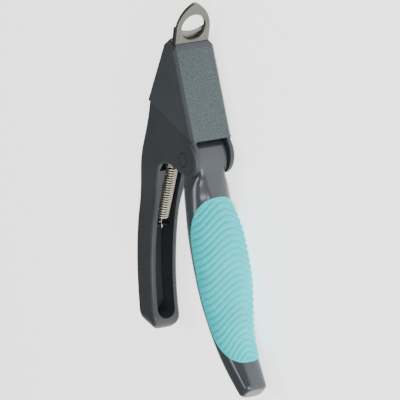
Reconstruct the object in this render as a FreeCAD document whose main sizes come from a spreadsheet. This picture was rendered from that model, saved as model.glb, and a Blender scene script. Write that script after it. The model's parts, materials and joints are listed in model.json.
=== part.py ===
"""Guillotine nail clipper: a fixed handle with its head, a sprung blade and a hinged lever, in millimetres.

The working frame has its origin on the pivot axis, in the middle of the head's width. X runs to the
front (the lever's side), Y along the blade's travel to the tip, and Z across the head. The placement
of each sub-part then moves the origin to the middle of the claw hole.
"""
import FreeCAD, Part
import math
import os

import Sketcher
from FreeCAD import Placement, Rotation, Vector

doc = FreeCAD.newDocument("NailClipper")

# ---------------------------------------------------------------- driving dimensions

DIMENSIONS = {
    # head and cheeks
    "head_width": 15.4,
    "cheek_wall": 1.9,
    "lobe_x": 0.9,
    "lobe_y": 1.2,
    "lobe_radius": 6.9,
    "seam_front": 8.3,
    "seam_back": 10.6,
    "head_top": 36.2,
    "cover_wall": 0.9,
    "cover_bevel": 0.95,
    "crown_half": 5.3,
    "crown_drop": 2.7,
    "fit_gap": 0.1,
    # fixed handle
    "handle_width": 10.3,
    "handle_depth": 9.9,
    "handle_reach": 65.6,
    "handle_spine": 23.2,
    "bow_start": 30.0,
    "bow_rate": 0.00574,
    "channel_width": 6.6,
    "channel_back": 2.2,
    "channel_end": 65.2,
    "handle_round": 1.1,
    # cutting line
    "hole_radius": 4.5,
    "hole_height": 40.6,
    "ring_half": 6.35,
    "ring_apex": 49.2,
    "ring_thickness": 1.5,
    "ring_front": 14.15,
    "plate_foot": 17.0,
    "blade_thickness": 0.6,
    "blade_half": 6.4,
    "blade_dip": 38.6,
    "blade_hollow": 8.8,
    "blade_bevel": 0.9,
    "blade_edge": 0.15,
    "blade_neck": 3.6,
    "blade_shoulder": 27.0,
    "blade_foot": -0.4,
    "slide_gap": 0.1,
    "guide_thickness": 0.8,
    "guide_drop": 5.7,
    "spacer_inner": 3.85,
    "spacer_outer": 6.3,
    "rivet_radius": 0.8,
    "rivet_head": 1.5,
    "rivet_z": 5.1,
    "rivet_low": 19.5,
    "rivet_high": 24.2,
    "rivet_bite": 3.0,
    # blade carrier
    "carrier_half": 4.4,
    "carrier_top": 8.0,
    "carrier_foot": 9.3,
    "carrier_back": 19.4,
    "lug_front": 13.6,
    "lug_inner": 2.3,
    "blade_screw_radius": 1.0,
    "blade_screw_head": 1.7,
    "blade_screw_low": 2.0,
    "blade_screw_high": 5.8,
    "hook_pin_y": 7.4,
    "hook_pin_x": 17.6,
    "hook_pin_radius": 0.6,
    # lever
    "rest_angle": 30.0,
    "throw_angle": 28.0,
    "barrel_radius": 6.6,
    "barrel_gap": 0.2,
    "shoulder_radius": 7.9,
    "lever_length": 80.4,
    "lever_width": 18.6,
    "lever_depth": 17.8,
    "neck_width": 13.9,
    "neck_depth": 13.2,
    "tip_width": 8.6,
    "tip_depth": 7.6,
    "arm_radius": 16.4,
    "arm_half": 1.9,
    "arm_height": 4.6,
    "grip_wall": 1.6,
    "grip_top": 13.4,
    "grip_end": 69.6,
    "grip_back": 0.8,
    "pivot_radius": 1.5,
    "bush_radius": 2.4,
    "bush_gap": 0.03,
    "cap_radius": 2.2,
    "cap_height": 0.9,
    "cap_groove": 0.25,
    "drive_pin_radius": 1.0,
    "drive_gap": 0.04,
    # return spring
    "spring_radius": 2.3,
    "spring_wire": 0.5,
    "spring_top": 11.2,
    "spring_foot": 32.0,
    "anchor_x": 21.4,
    "anchor_y": 35.2,
    "anchor_radius": 0.7,
    "anchor_seat": 0.9,
}

sheet = doc.addObject("Spreadsheet::Sheet", "Dims")
for row, (alias, size) in enumerate(DIMENSIONS.items(), start=1):
    sheet.set(f"A{row}", alias)
    sheet.set(f"B{row}", str(size))
    sheet.setAlias(f"B{row}", alias)
doc.recompute()


def dim(alias):
    """The size that the sheet holds under this alias."""
    return float(sheet.get(alias))


# ---------------------------------------------------------------- helpers

exported = []


def to_row_frame(shift=Vector(), turn=Rotation()):
    """The placement that moves a shape of the working frame so that the claw hole is the origin."""
    hole = Vector(-dim("ring_front") - dim("ring_thickness") / 2, dim("hole_height"), 0)
    return Placement(shift - hole, turn)


def on_lever():
    """The placement of what is built along the lever, whose own axis runs down -Y from the pivot."""
    return to_row_frame(turn=Rotation(Vector(0, 0, 1), dim("rest_angle")))


def keep(label, shape_or_object, placement=None):
    """Makes a named sub-part of a shape, or names an object that is one already."""
    if isinstance(shape_or_object, Part.Shape):
        item = doc.addObject("Part::Feature", label)
        item.Shape = shape_or_object
    else:
        item = shape_or_object
    item.Label = label
    item.Placement = placement or to_row_frame()
    exported.append(item)
    return item


def bind(item, **expressions):
    """Sets each property of the object by an expression on the sheet."""
    for name, formula in expressions.items():
        item.setExpression(name, formula)
    return item


def cylinder(label, radius, height):
    """A cylinder along Z whose radius and height are expressions."""
    item = doc.addObject("Part::Cylinder", label)
    return bind(item, Radius=radius, Height=height)


def cut(label, base, tool):
    """An object less a tool."""
    item = doc.addObject("Part::Cut", label)
    item.Base = base
    item.Tool = tool
    return item


def outline(start, *runs):
    """A closed face in the XY plane. A run is a point, an arc (mid, end) or a list that a curve follows."""
    edges = []
    here = Vector(*start, 0)
    for run in [*runs, start]:
        if isinstance(run, list):
            points = [here] + [Vector(*point, 0) for point in run]
            curve = Part.BSplineCurve()
            curve.interpolate(points)
            edges.append(curve.toShape())
            here = points[-1]
        elif isinstance(run[0], tuple):
            mid, end = (Vector(*point, 0) for point in run)
            edges.append(Part.Arc(here, mid, end).toShape())
            here = end
        else:
            end = Vector(*run, 0)
            if (end - here).Length > 1e-6:
                edges.append(Part.LineSegment(here, end).toShape())
            here = end
    return Part.Face(Part.Wire(edges))


def across(face, half, inner=0.0):
    """A face of the XY plane given depth over Z: -half to half, or inner to half if inner is set."""
    low = inner if inner else -half
    moved = face.copy()
    moved.translate(Vector(0, 0, low))
    return moved.extrude(Vector(0, 0, half - low))


def front_view(face, x_low, x_high):
    """A face drawn with Z as its first axis and Y as its second, given depth over X."""
    turned = face.copy()
    turned.transformShape(Placement(Vector(x_low, 0, 0), Rotation(Vector(0, 1, 0), -90)).toMatrix())
    return turned.extrude(Vector(x_high - x_low, 0, 0))


def disc(radius, x, y, z_low, z_high):
    """A solid cylinder along Z."""
    return Part.makeCylinder(radius, z_high - z_low, Vector(x, y, z_low), Vector(0, 0, 1))


def bar(radius, x_low, x_high, y, z):
    """A solid cylinder along X."""
    return Part.makeCylinder(radius, x_high - x_low, Vector(x_low, y, z), Vector(1, 0, 0))


# ---------------------------------------------------------------- shared places

head_half = dim("head_width") / 2
cheek_inside = head_half - dim("cheek_wall")
ring_back = -dim("ring_front") - dim("ring_thickness")
blade_front = ring_back - dim("slide_gap")
blade_back = blade_front - dim("blade_thickness")
guide_front = blade_back - dim("slide_gap")
guide_back = guide_front - dim("guide_thickness")
half_throw = math.radians(dim("throw_angle") / 2)
drive_x = -dim("arm_radius") * math.cos(half_throw)
drive_y = -dim("arm_radius") * math.sin(half_throw)
drive_mid_x = (drive_x - dim("arm_radius")) / 2


def spine(y):
    """Where the handle's middle line lies at this height: straight, then bowed to the front."""
    return -dim("handle_spine") + dim("bow_rate") * (y + dim("bow_start")) ** 2


def handle_edge(side, heights, inset=0.0):
    """Points along the handle's front edge (side 1) or back edge (side -1)."""
    offset = side * (dim("handle_depth") / 2 - inset)
    return [(spine(y) + offset, y) for y in heights]


# the head's wedge: its front and back lines run from the seam up to the top
front_foot = (4.3, dim("seam_front"))
front_top = (-12.3, dim("head_top") - 2.4)
ring_step = (-13.9, dim("head_top") - 1.0)
crown_back = (-17.2, dim("head_top"))
back_top = (-18.5, dim("head_top") - 1.3)
back_foot = (-24.9, dim("seam_back"))


# ---------------------------------------------------------------- fixed handle


def handle_side_face():
    """The side outline of cheeks and handle, from the seam round the pivot lobe to the rounded end."""
    lobe = Vector(dim("lobe_x"), dim("lobe_y"), 0)

    def on_lobe(degrees):
        angle = math.radians(degrees)
        return (lobe.x + dim("lobe_radius") * math.cos(angle), lobe.y + dim("lobe_radius") * math.sin(angle))

    end_y = -dim("handle_reach")
    slope = 2 * dim("bow_rate") * (end_y + dim("bow_start"))
    along = Vector(-slope, -1, 0).normalize()
    beside = Vector(-along.y, along.x, 0)
    half = dim("handle_depth") / 2
    middle = Vector(spine(end_y), end_y, 0)
    end_front = middle + beside * half
    end_low = middle + along * half
    end_back = middle - beside * half
    lower = [-20.0, -31.0, -42.0, -53.0]
    return outline(
        (front_foot[0], front_foot[1]),
        on_lobe(62),
        (on_lobe(-8), on_lobe(-78)),
        (-7.7, -5.5),
        (-12.4, -7.2),
        ((-14.6, -8.6), (-16.0, -11.2)),
        handle_edge(1, lower) + [(end_front.x, end_front.y)],
        ((end_low.x, end_low.y), (end_back.x, end_back.y)),
        handle_edge(-1, lower[::-1]) + [(-27.0, -13.0), (-25.6, -3.5), (back_foot[0] + 0.3, back_foot[1])],
    )


def handle_width_face():
    """The front outline: head width at the cheeks, eased in to the handle's width, rounded at the end."""
    slim = dim("handle_width") / 2
    floor = -dim("handle_reach") - dim("handle_depth") / 2 + 0.2
    top = dim("seam_back") + 1
    start = dim("lobe_y") - dim("lobe_radius") - 0.1
    shares = [k / 6 for k in range(1, 7)]
    eased = [share * share * (3 - 2 * share) for share in shares]
    right = [
        (head_half + (slim - head_half) * ease, start + (-dim("bow_start") - start) * share)
        for share, ease in zip(shares, eased)
    ]
    left = [(-z, y) for z, y in right[::-1]]
    return outline(
        (head_half, top),
        (head_half, start),
        right,
        (slim, floor + slim),
        ((0, floor), (-slim, floor + slim)),
        left[0],
        left[1:] + [(-head_half, start)],
        (-head_half, top),
    )


def channel_cutter():
    """The channel that opens to the front and holds the spring, with rounded ends."""
    heights = [-24.0, -36.0, -48.0]
    top = -6.0
    end = -dim("channel_end")
    inner = handle_edge(-1, heights, dim("channel_back"))
    low = handle_edge(-1, [end - 4], dim("channel_back"))
    face = outline((8.0, top), (8.0, end - 4), low[0], inner[::-1] + [(-23.9, top)])
    half = dim("channel_width") / 2
    window = outline((half, top), (half, end + half), ((0, end), (-half, end + half)), (-half, top))
    return across(face, half).common(front_view(window, -40, 10))


def head_cutter():
    """The room between the cheeks for the barrel, the lever's arm and the blade carrier."""
    wall = dim("cheek_wall")
    face = outline(
        (12.0, dim("seam_front") - 0.2),
        (12.0, -12.0),
        (-17.0, -12.0),
        ((-21.0, -13.4), (-24.9, -12.0)),
        (-25.6 + wall, -3.5),
        (-24.6 + wall, dim("seam_back") + 2),
        (-14.0, dim("seam_back") + 2),
        (-14.0, dim("seam_front") - 0.2),
    )
    return across(face, cheek_inside)


def tongue():
    """The part of the frame that stands inside the cover and carries the plates on its back face."""
    gap = dim("cover_wall") + dim("fit_gap")
    face = outline(
        (front_foot[0] - gap - 0.4, front_foot[1] - 0.2),
        (front_foot[0] - gap - 0.6, front_foot[1] + 0.2),
        (-dim("ring_front") + 0.6, dim("head_top") - 5.6),
        (-dim("ring_front"), dim("head_top") - 5.6),
        (-dim("ring_front"), front_foot[1] - 0.2),
    )
    return across(face, head_half - gap)


def side_rail(sign):
    """One of the two walls that close the frame inside the cover, behind the plates."""
    gap = dim("cover_wall") + dim("fit_gap")
    outer = head_half - gap
    face = outline(
        (-dim("ring_front"), front_foot[1] - 0.4),
        (-dim("ring_front"), dim("plate_foot") - 0.4),
        (-21.4, dim("plate_foot") - 0.4),
        (back_foot[0] + gap + 0.5, front_foot[1] - 0.4),
    )
    rail = across(face, outer, cheek_inside - 0.7)
    return rail if sign > 0 else rail.mirror(Vector(), Vector(0, 0, 1))


def round_outer_edges(solid, radius):
    """Rounds the outer edges of cheeks and handle, where the hand meets them."""
    edges = []
    for edge in solid.Edges:
        box = edge.BoundBox
        on_one_side = box.ZMin * box.ZMax > 0
        outer = max(abs(box.ZMin), abs(box.ZMax)) > dim("handle_width") / 2 - 0.01
        level = box.YLength < 0.01
        if on_one_side and outer and not level and box.YMin < front_foot[1] - 0.5:
            edges.append(edge)
    return solid.makeFillet(radius, edges)


body = across(handle_side_face(), head_half + 1).common(front_view(handle_width_face(), -45, 20))
above_seam = outline((front_foot[0] + 8, front_foot[1] - 0.65), back_foot, (back_foot[0] - 8, 40), (20, 40))
body = round_outer_edges(body, dim("handle_round")).cut(across(above_seam, head_half + 2))
frame = body.cut(head_cutter()).fuse([tongue(), side_rail(1), side_rail(-1)])
frame = frame.cut(channel_cutter())
for sign in (-1, 1):
    cap_floor = head_half - dim("cap_height")
    socket = disc(dim("cap_radius") + dim("cap_groove"), 0, 0, cap_floor, head_half + 1)
    pin_hole = disc(dim("pivot_radius"), 0, 0, cheek_inside - 1, cap_floor + 0.5)
    for tool in (socket, pin_hole):
        frame = frame.cut(tool if sign > 0 else tool.mirror(Vector(), Vector(0, 0, 1)))
anchor_half = dim("channel_width") / 2 + dim("anchor_seat")
frame = frame.cut(disc(dim("anchor_radius"), -dim("anchor_x"), -dim("anchor_y"), -anchor_half, anchor_half))
for y in (dim("rivet_low"), dim("rivet_high")):
    for z in (dim("rivet_z"), -dim("rivet_z")):
        frame = frame.cut(bar(dim("rivet_radius"), ring_back, -dim("ring_front") + dim("rivet_bite"), y, z))
keep("fixed_handle", frame.removeSplitter())


# ---------------------------------------------------------------- head cover


def cover_shape():
    """The wedge-shaped cap: a bevelled shell, open at the seam, with a slot for ring plate and blade."""
    wall = dim("cover_wall")
    crown_turn = ((-18.1, dim("head_top") - 0.4), back_top)
    outer = across(outline(front_foot, front_top, ring_step, crown_back, crown_turn, back_foot), head_half)
    bevelled = []
    for edge in outer.Edges:
        box = edge.BoundBox
        middle = edge.valueAt((edge.FirstParameter + edge.LastParameter) / 2)
        on_side = box.ZLength < 1e-6
        on_front = abs(middle.x - (front_foot[0] + front_top[0]) / 2) < 0.5
        if on_side and on_front:
            bevelled.append(edge)
    outer = outer.makeChamfer(dim("cover_bevel"), bevelled)
    shoulder_y = dim("head_top") - dim("crown_drop")
    front_outline = outline(
        (head_half, 0),
        (head_half, shoulder_y),
        (dim("crown_half"), dim("head_top") + 0.1),
        (-dim("crown_half"), dim("head_top") + 0.1),
        (-head_half, shoulder_y),
        (-head_half, 0),
    )
    outer = outer.common(front_view(front_outline, -45, 20))
    inner = across(
        outline(
            (front_foot[0] - wall - 0.4, front_foot[1] - 3),
            (front_foot[0] - wall - 0.4, front_foot[1]),
            (front_top[0] - wall, front_top[1] - 0.6),
            (crown_back[0] + wall, front_top[1] - 0.6),
            (back_top[0] + wall + 0.35, back_top[1] - 3.5),
            (back_foot[0] + wall, back_foot[1]),
            (back_foot[0] + wall, back_foot[1] - 6),
        ),
        head_half - wall,
    )
    slot_half = max(dim("ring_half"), dim("blade_half")) + 0.15
    slot_back = blade_back - 0.2
    slot_front = -dim("ring_front") + 0.15
    slot = Part.makeBox(slot_front - slot_back, 12, 2 * slot_half, Vector(slot_back, 28, -slot_half))
    return outer.cut(inner).cut(slot)


keep("head_cover", cover_shape())


# ---------------------------------------------------------------- plates and blade


def ring_plate_shape():
    """A plate with straight flanks, a pointed arch over the claw hole, and four rivet holes in its shank."""
    half = dim("ring_half")
    hip = dim("hole_height") - 0.8
    apex = dim("ring_apex")
    shank = dim("spacer_outer")
    haunch = (half * 0.70, (hip + apex) / 2 + 1.2)
    face = outline(
        (shank, dim("plate_foot")),
        (half, dim("head_top") - 4),
        (half, hip),
        (haunch, (0.8, apex - 0.2)),
        ((0, apex), (-0.8, apex - 0.2)),
        ((-haunch[0], haunch[1]), (-half, hip)),
        (-half, dim("head_top") - 4),
        (-shank, dim("plate_foot")),
    )
    plate = front_view(face, ring_back, -dim("ring_front"))
    plate = plate.cut(bar(dim("hole_radius"), ring_back - 1, 0, dim("hole_height"), 0))
    for y in (dim("rivet_low"), dim("rivet_high")):
        for z in (dim("rivet_z"), -dim("rivet_z")):
            plate = plate.cut(bar(dim("rivet_radius"), ring_back - 1, 0, y, z))
    return plate


def blade_shape():
    """A thin blade: a hollow edge between two horns, a bevel on its front, and a narrow shank."""
    half = dim("blade_half")
    horn = dim("blade_dip") + dim("blade_hollow") - math.sqrt(dim("blade_hollow") ** 2 - (half - 0.4) ** 2)
    neck = dim("blade_neck")
    face = outline(
        (neck, dim("blade_foot")),
        (neck, dim("blade_shoulder") - 1.5),
        (half, dim("blade_shoulder")),
        (half, horn - 0.6),
        (half - 0.4, horn),
        ((0, dim("blade_dip")), (-half + 0.4, horn)),
        (-half, horn - 0.6),
        (-half, dim("blade_shoulder")),
        (-neck, dim("blade_shoulder") - 1.5),
        (-neck, dim("blade_foot")),
    )
    blade = front_view(face, blade_back, blade_front)
    rate = dim("blade_bevel") / (dim("blade_thickness") - dim("blade_edge"))
    length = dim("blade_thickness") - dim("blade_edge") + 0.3
    bevel = Part.makeCone(
        dim("blade_hollow"),
        dim("blade_hollow") + rate * length,
        length,
        Vector(blade_back + dim("blade_edge"), dim("blade_dip") + dim("blade_hollow"), 0),
        Vector(1, 0, 0),
    )
    blade = blade.cut(bevel)
    for y in (dim("blade_screw_low"), dim("blade_screw_high")):
        blade = blade.cut(bar(dim("blade_screw_radius"), blade_back - 1, 0, y, 0))
    return blade


keep("ring_plate", ring_plate_shape())
keep("blade", blade_shape())


def rectangle_body(label, x_front, thickness, z_low, z_high, y_low, y_high, holes):
    """A flat plate as a body: a rectangle drawn on the YZ plane, padded back from x_front, with holes.

    Every corner and every hole centre is held by two expressions on the sheet.
    """
    item = doc.addObject("PartDesign::Body", label)
    planes = {feature.Role: feature for feature in item.Origin.OriginFeatures}
    plan = item.newObject("Sketcher::SketchObject", label + "_plan")
    plan.AttachmentSupport = [(planes["YZ_Plane"], "")]
    plan.MapMode = "FlatFace"
    corners = [(y_low, z_low), (y_high, z_low), (y_high, z_high), (y_low, z_high)]
    rough = [(0, 0), (9, 0), (9, 4), (0, 4)]
    for index in range(4):
        first = Vector(*rough[index], 0)
        second = Vector(*rough[(index + 1) % 4], 0)
        plan.addGeometry(Part.LineSegment(first, second), False)
    for index in range(4):
        plan.addConstraint(Sketcher.Constraint("Coincident", index, 2, (index + 1) % 4, 1))
    for index, (along, aside) in enumerate(corners):
        hold_point(plan, index, 1, along, aside)
    for along, aside, radius in holes:
        ring = plan.addGeometry(Part.Circle(Vector(4, 2, 0), Vector(0, 0, 1), 0.5), False)
        hold_point(plan, ring, 3, along, aside)
        size = plan.addConstraint(Sketcher.Constraint("Radius", ring, 0.5))
        plan.setExpression(f"Constraints[{size}]", radius)
    pad = item.newObject("PartDesign::Pad", label + "_pad")
    pad.Profile = plan
    pad.Reversed = True
    pad.setExpression("Length", thickness)
    plan.setExpression(".AttachmentOffset.Base.z", x_front)
    return item


def hold_point(plan, geometry, vertex, along, aside):
    """Holds a sketch point at two distances from the origin, each an expression."""
    for kind, formula in (("DistanceX", along), ("DistanceY", aside)):
        at = plan.addConstraint(Sketcher.Constraint(kind, -1, 1, geometry, vertex, 1.0))
        plan.setExpression(f"Constraints[{at}]", formula)


RIVET_ROWS = ("Dims.rivet_low", "Dims.rivet_high")
BLADE_FRONT = "-(Dims.ring_front + Dims.ring_thickness + Dims.slide_gap)"
GUIDE_FRONT = BLADE_FRONT + " - Dims.blade_thickness - Dims.slide_gap"
guide_plate = rectangle_body(
    "guide_plate",
    GUIDE_FRONT,
    "Dims.guide_thickness",
    "-Dims.spacer_outer",
    "Dims.spacer_outer",
    "Dims.plate_foot",
    "Dims.head_top - Dims.guide_drop",
    [(y, z, "Dims.rivet_radius") for y in RIVET_ROWS for z in ("Dims.rivet_z", "-Dims.rivet_z")],
)
spacers = {}
for side, sign in (("left", ""), ("right", "-")):
    spacers[side] = rectangle_body(
        "guide_spacer_" + side,
        "-(Dims.ring_front + Dims.ring_thickness)",
        "Dims.blade_thickness + 2 * Dims.slide_gap",
        sign + "Dims.spacer_inner",
        sign + "Dims.spacer_outer",
        "Dims.plate_foot",
        "Dims.blade_shoulder - 1.9",
        [(y, sign + "Dims.rivet_z", "Dims.rivet_radius") for y in RIVET_ROWS],
    )
doc.recompute()
keep("guide_plate", guide_plate)
for side, item in spacers.items():
    keep("guide_spacer_" + side, item)


def rivets_shape():
    """Four rivets through guide plate, spacers and ring plate into the frame, heads at the back."""
    shapes = []
    for y in (dim("rivet_low"), dim("rivet_high")):
        for z in (dim("rivet_z"), -dim("rivet_z")):
            shank = bar(dim("rivet_radius"), guide_back, -dim("ring_front") + dim("rivet_bite"), y, z)
            head = bar(dim("rivet_head"), guide_back - 0.6, guide_back, y, z)
            shapes.append(shank.fuse(head))
    return Part.makeCompound(shapes)


keep("guide_rivets", rivets_shape())


# ---------------------------------------------------------------- blade carrier


def carrier_shape():
    """A block screwed behind the blade, with two lugs whose cross slots take the drive pin."""
    half = dim("carrier_half")
    back = -dim("carrier_back")
    foot = -dim("carrier_foot")
    plate = Part.makeBox(blade_back - back, dim("carrier_top") + 0.6, 2 * half, Vector(back, -0.6, -half))
    front = -dim("lug_front")
    lug_face = outline((back, -0.6), (back, foot), (front - 2.8, foot), (front, foot + 3.1), (front, -0.6))
    lug = across(lug_face, half, dim("lug_inner"))
    shape = plate.fuse([lug, lug.mirror(Vector(), Vector(0, 0, 1))])
    reach = (dim("arm_radius") + drive_x) / 2 + 0.15
    radius = dim("drive_pin_radius") + dim("drive_gap")
    for x in (drive_mid_x - reach, drive_mid_x + reach):
        shape = shape.cut(disc(radius, x, drive_y, -half - 1, half + 1))
    gate_corner = Vector(drive_mid_x - reach, drive_y - radius, -half - 1)
    shape = shape.cut(Part.makeBox(2 * reach, 2 * radius, 2 * half + 2, gate_corner))
    shape = shape.cut(disc(dim("hook_pin_radius"), -dim("hook_pin_x"), -dim("hook_pin_y"), -half - 1, half + 1))
    for y in (dim("blade_screw_low"), dim("blade_screw_high")):
        shape = shape.cut(bar(dim("blade_screw_radius"), back + 0.5, blade_back + 1, y, 0))
    return shape.removeSplitter()


def blade_screws_shape():
    """Two pan screws that hold the blade to its carrier."""
    shapes = []
    for y in (dim("blade_screw_low"), dim("blade_screw_high")):
        shank = bar(dim("blade_screw_radius"), -dim("carrier_back") + 0.5, blade_front, y, 0)
        head = bar(dim("blade_screw_head"), blade_front, blade_front + 1.1, y, 0)
        driver = Part.makeBox(0.5, 0.5, 4, Vector(blade_front + 0.7, y - 0.25, -2))
        shapes.append(shank.fuse(head).cut(driver))
    return Part.makeCompound(shapes)


keep("blade_carrier", carrier_shape())
keep("blade_screws", blade_screws_shape())
hook_pin = cylinder("spring_hook_pin", "Dims.hook_pin_radius", "2 * Dims.carrier_half")
hook_place = Vector(-dim("hook_pin_x"), -dim("hook_pin_y"), -dim("carrier_half"))
keep("spring_hook_pin", hook_pin, to_row_frame(hook_place))


# ---------------------------------------------------------------- lever

# along a lever of the drawn length: distance down from the pivot, share of the width between neck or tip
# and the widest place, how far the middle line lies to the front, and the section's tilt
DRAWN_LENGTH = 81.3
UPPER_STATIONS = [
    (3.5, -0.16, -0.6),
    (9.0, 0.0, -1.4),
    (16.0, 0.33, -1.8),
    (24.0, 0.83, -0.7),
    (34.0, 1.0, -0.1),
]
LOWER_STATIONS = [(44.0, 0.95, 0.1, 0), (54.0, 0.71, -0.3, 0), (64.0, 0.43, 0.8, 6), (73.0, 0.19, 4.2, 16)]


def lever_section(label, distance, width, depth, forward, tilt, inset):
    """One oval section of the lever, square to its middle line; width and depth are expressions."""
    item = doc.addObject("Part::Ellipse", label)
    bind(item, MajorRadius=f"({width}) / 2 - {inset}", MinorRadius=f"({depth}) / 2 - {inset}")
    turn = Rotation(Vector(0, 0, 1), tilt) * Rotation(Vector(1, 1, 1), -120)
    item.Placement = Placement(Vector(forward, -distance, 0), turn)
    return item


def lever_form(label, inset):
    """The lever's smooth form through its oval sections, drawn in by the inset."""
    scale = dim("lever_length") / DRAWN_LENGTH
    sections = []
    for index, (distance, share, forward) in enumerate(UPPER_STATIONS):
        width = f"Dims.neck_width + (Dims.lever_width - Dims.neck_width) * ({share})"
        depth = f"Dims.neck_depth + (Dims.lever_depth - Dims.neck_depth) * ({share})"
        place = distance if index < 2 else distance * scale
        sections.append(lever_section(f"{label}_upper_{index}", place, width, depth, forward, 0, inset))
    for index, (distance, share, forward, tilt) in enumerate(LOWER_STATIONS):
        width = f"Dims.tip_width + (Dims.lever_width - Dims.tip_width) * ({share})"
        depth = f"Dims.tip_depth + (Dims.lever_depth - Dims.tip_depth) * ({share})"
        place = distance * scale
        sections.append(lever_section(f"{label}_lower_{index}", place, width, depth, forward, tilt, inset))
    end = dim("lever_length") - 1.2
    sections.append(
        lever_section(label + "_tip", end, "Dims.tip_width", "Dims.tip_depth", 7.7, 24, min(inset, 1.0))
    )
    form = doc.addObject("Part::Loft", label)
    form.Sections = sections
    form.Solid = True
    form.Ruled = False
    return form


def grip_region():
    """The leaf that the grip covers, seen from the side and given the lever's full width."""
    top = -dim("grip_top")
    end = -dim("grip_end")
    back = -dim("grip_back")
    face = outline(
        (14.0, top + 1.5),
        (6.0, top),
        [(2.6, top - 2.9), (0.3, top - 7.2), (back, top - 13.6)],
        (back, end + 15.6),
        [(0.1, end + 9.3), (3.0, end + 4.8), (7.0, end + 1.4), (10.0, end)],
        (16.0, end - 0.8),
    )
    return across(face, dim("lever_width"))


lever_outer = lever_form("lever_outer", 0)
lever_inner = lever_form("lever_inner", dim("grip_wall"))
doc.recompute()

barrel_half = cheek_inside - dim("barrel_gap")
drive_turn = math.radians(180 + dim("throw_angle") / 2 - dim("rest_angle"))
drive_local = Vector(dim("arm_radius") * math.cos(drive_turn), dim("arm_radius") * math.sin(drive_turn), 0)


def lever_shape():
    """The lever before the grip: form, barrel and rear arm, cut clear of the cheeks, with its two bores."""
    arm_half = dim("arm_half")
    arm_low = -dim("arm_height") / 2
    arm = Part.makeBox(dim("arm_radius"), dim("arm_height"), 2 * arm_half, Vector(0, arm_low, -arm_half))
    arm.rotate(Vector(), Vector(0, 0, 1), math.degrees(drive_turn))
    eye = disc(dim("arm_height") / 2, drive_local.x, drive_local.y, -arm_half, arm_half)
    barrel = disc(dim("barrel_radius"), 0, 0, -barrel_half, barrel_half)
    shape = lever_outer.Shape.fuse([barrel, arm, eye])
    for low, high in ((barrel_half, dim("lever_width")), (-dim("lever_width"), -barrel_half)):
        shape = shape.cut(disc(dim("shoulder_radius"), 0, 0, low, high))
    shape = shape.cut(disc(dim("bush_radius"), 0, 0, -head_half, head_half))
    return shape.cut(disc(dim("drive_pin_radius"), drive_local.x, drive_local.y, -head_half, head_half))


grip = lever_outer.Shape.cut(lever_inner.Shape).common(grip_region())
keep("lever_core", lever_shape().cut(grip), on_lever())
keep("grip_sleeve", grip, on_lever())

BARREL = "(Dims.head_width / 2 - Dims.cheek_wall - Dims.barrel_gap)"
bush_outside = cylinder("bush_outside", "Dims.bush_radius", "2 * " + BARREL)
bush_inside = cylinder("bush_inside", "Dims.pivot_radius + Dims.bush_gap", "2 * " + BARREL)
keep("pivot_bush", cut("pivot_bush", bush_outside, bush_inside), to_row_frame(Vector(0, 0, -barrel_half)))

pin_half = head_half - dim("cap_height")
pivot_pin = cylinder("pivot_pin", "Dims.pivot_radius", "Dims.head_width - 2 * Dims.cap_height")
keep("pivot_pin", pivot_pin, to_row_frame(Vector(0, 0, -pin_half)))
for side, low in (("left", pin_half), ("right", -head_half)):
    cap = cylinder("pivot_cap_" + side, "Dims.cap_radius", "Dims.cap_height")
    keep("pivot_cap_" + side, cap, to_row_frame(Vector(0, 0, low)))

drive_pin = cylinder("drive_pin", "Dims.drive_pin_radius", "2 * Dims.carrier_half - 0.4")
keep("drive_pin", drive_pin, to_row_frame(Vector(drive_x, drive_y, 0.2 - dim("carrier_half"))))


# ---------------------------------------------------------------- return spring

anchor_pin = cylinder("spring_anchor_pin", "Dims.anchor_radius", "Dims.channel_width + 2 * Dims.anchor_seat")
keep("spring_anchor_pin", anchor_pin, to_row_frame(Vector(-dim("anchor_x"), -dim("anchor_y"), -anchor_half)))


def spring_shape():
    """The spring's envelope: a tube along the line between the two pins, a leg and an eye at each end."""
    wire = dim("spring_wire") / 2
    upper = Vector(-dim("hook_pin_x"), -dim("hook_pin_y"), 0)
    lower = Vector(-dim("anchor_x"), -dim("anchor_y"), 0)
    line = (lower - upper).normalize()
    start = upper + line * ((dim("spring_top") - dim("hook_pin_y")) / -line.y)
    length = (dim("spring_foot") - dim("spring_top")) / -line.y
    tube = Part.makeCylinder(dim("spring_radius"), length, start, line)
    bore = Part.makeCylinder(dim("spring_radius") - 2 * wire, length - 4 * wire, start + line * 2 * wire, line)
    parts = []
    for pin, radius, coil_end, sense in (
        (upper, dim("hook_pin_radius"), start, 1),
        (lower, dim("anchor_radius"), start + line * length, -1),
    ):
        eye_radius = radius + wire + 0.05
        eye = Part.makeTorus(eye_radius, wire, pin, Vector(0, 0, 1))
        leg_start = pin + line * sense * eye_radius
        leg = Part.makeCylinder(wire, (coil_end - leg_start).Length + wire, leg_start, line * sense)
        parts += [eye, leg]
    return tube.cut(bore).fuse(parts)


keep("return_spring", spring_shape())


# ---------------------------------------------------------------- check and write

doc.recompute()
for item in doc.Objects:
    if "Invalid" in item.State or "Error" in item.State:
        raise RuntimeError(f"{item.Label} failed to compute")
for item in exported:
    if item.Shape.isNull() or not item.Shape.isValid():
        raise RuntimeError(f"{item.Label} has no valid shape")

os.makedirs("parts", exist_ok=True)
for item in exported:
    item.Shape.exportStep(os.path.join("parts", item.Label + ".step"))
    box = item.Shape.BoundBox
    spans = [(box.XMin, box.XMax), (box.YMin, box.YMax), (box.ZMin, box.ZMax)]
    extents = ", ".join(f"{low:.1f} to {high:.1f}" for low, high in spans)
    print(f"{item.Label}: {len(item.Shape.Solids)} solids, {item.Shape.Volume:.1f} mm3, {extents}")
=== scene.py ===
"""Finishes, soft parts, light and camera for a guillotine nail clipper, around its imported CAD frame."""
import json
import logging
import math
from dataclasses import dataclass
from enum import Enum

import bmesh
import bpy
import numpy as np
from mathutils import Matrix, Vector


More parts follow.
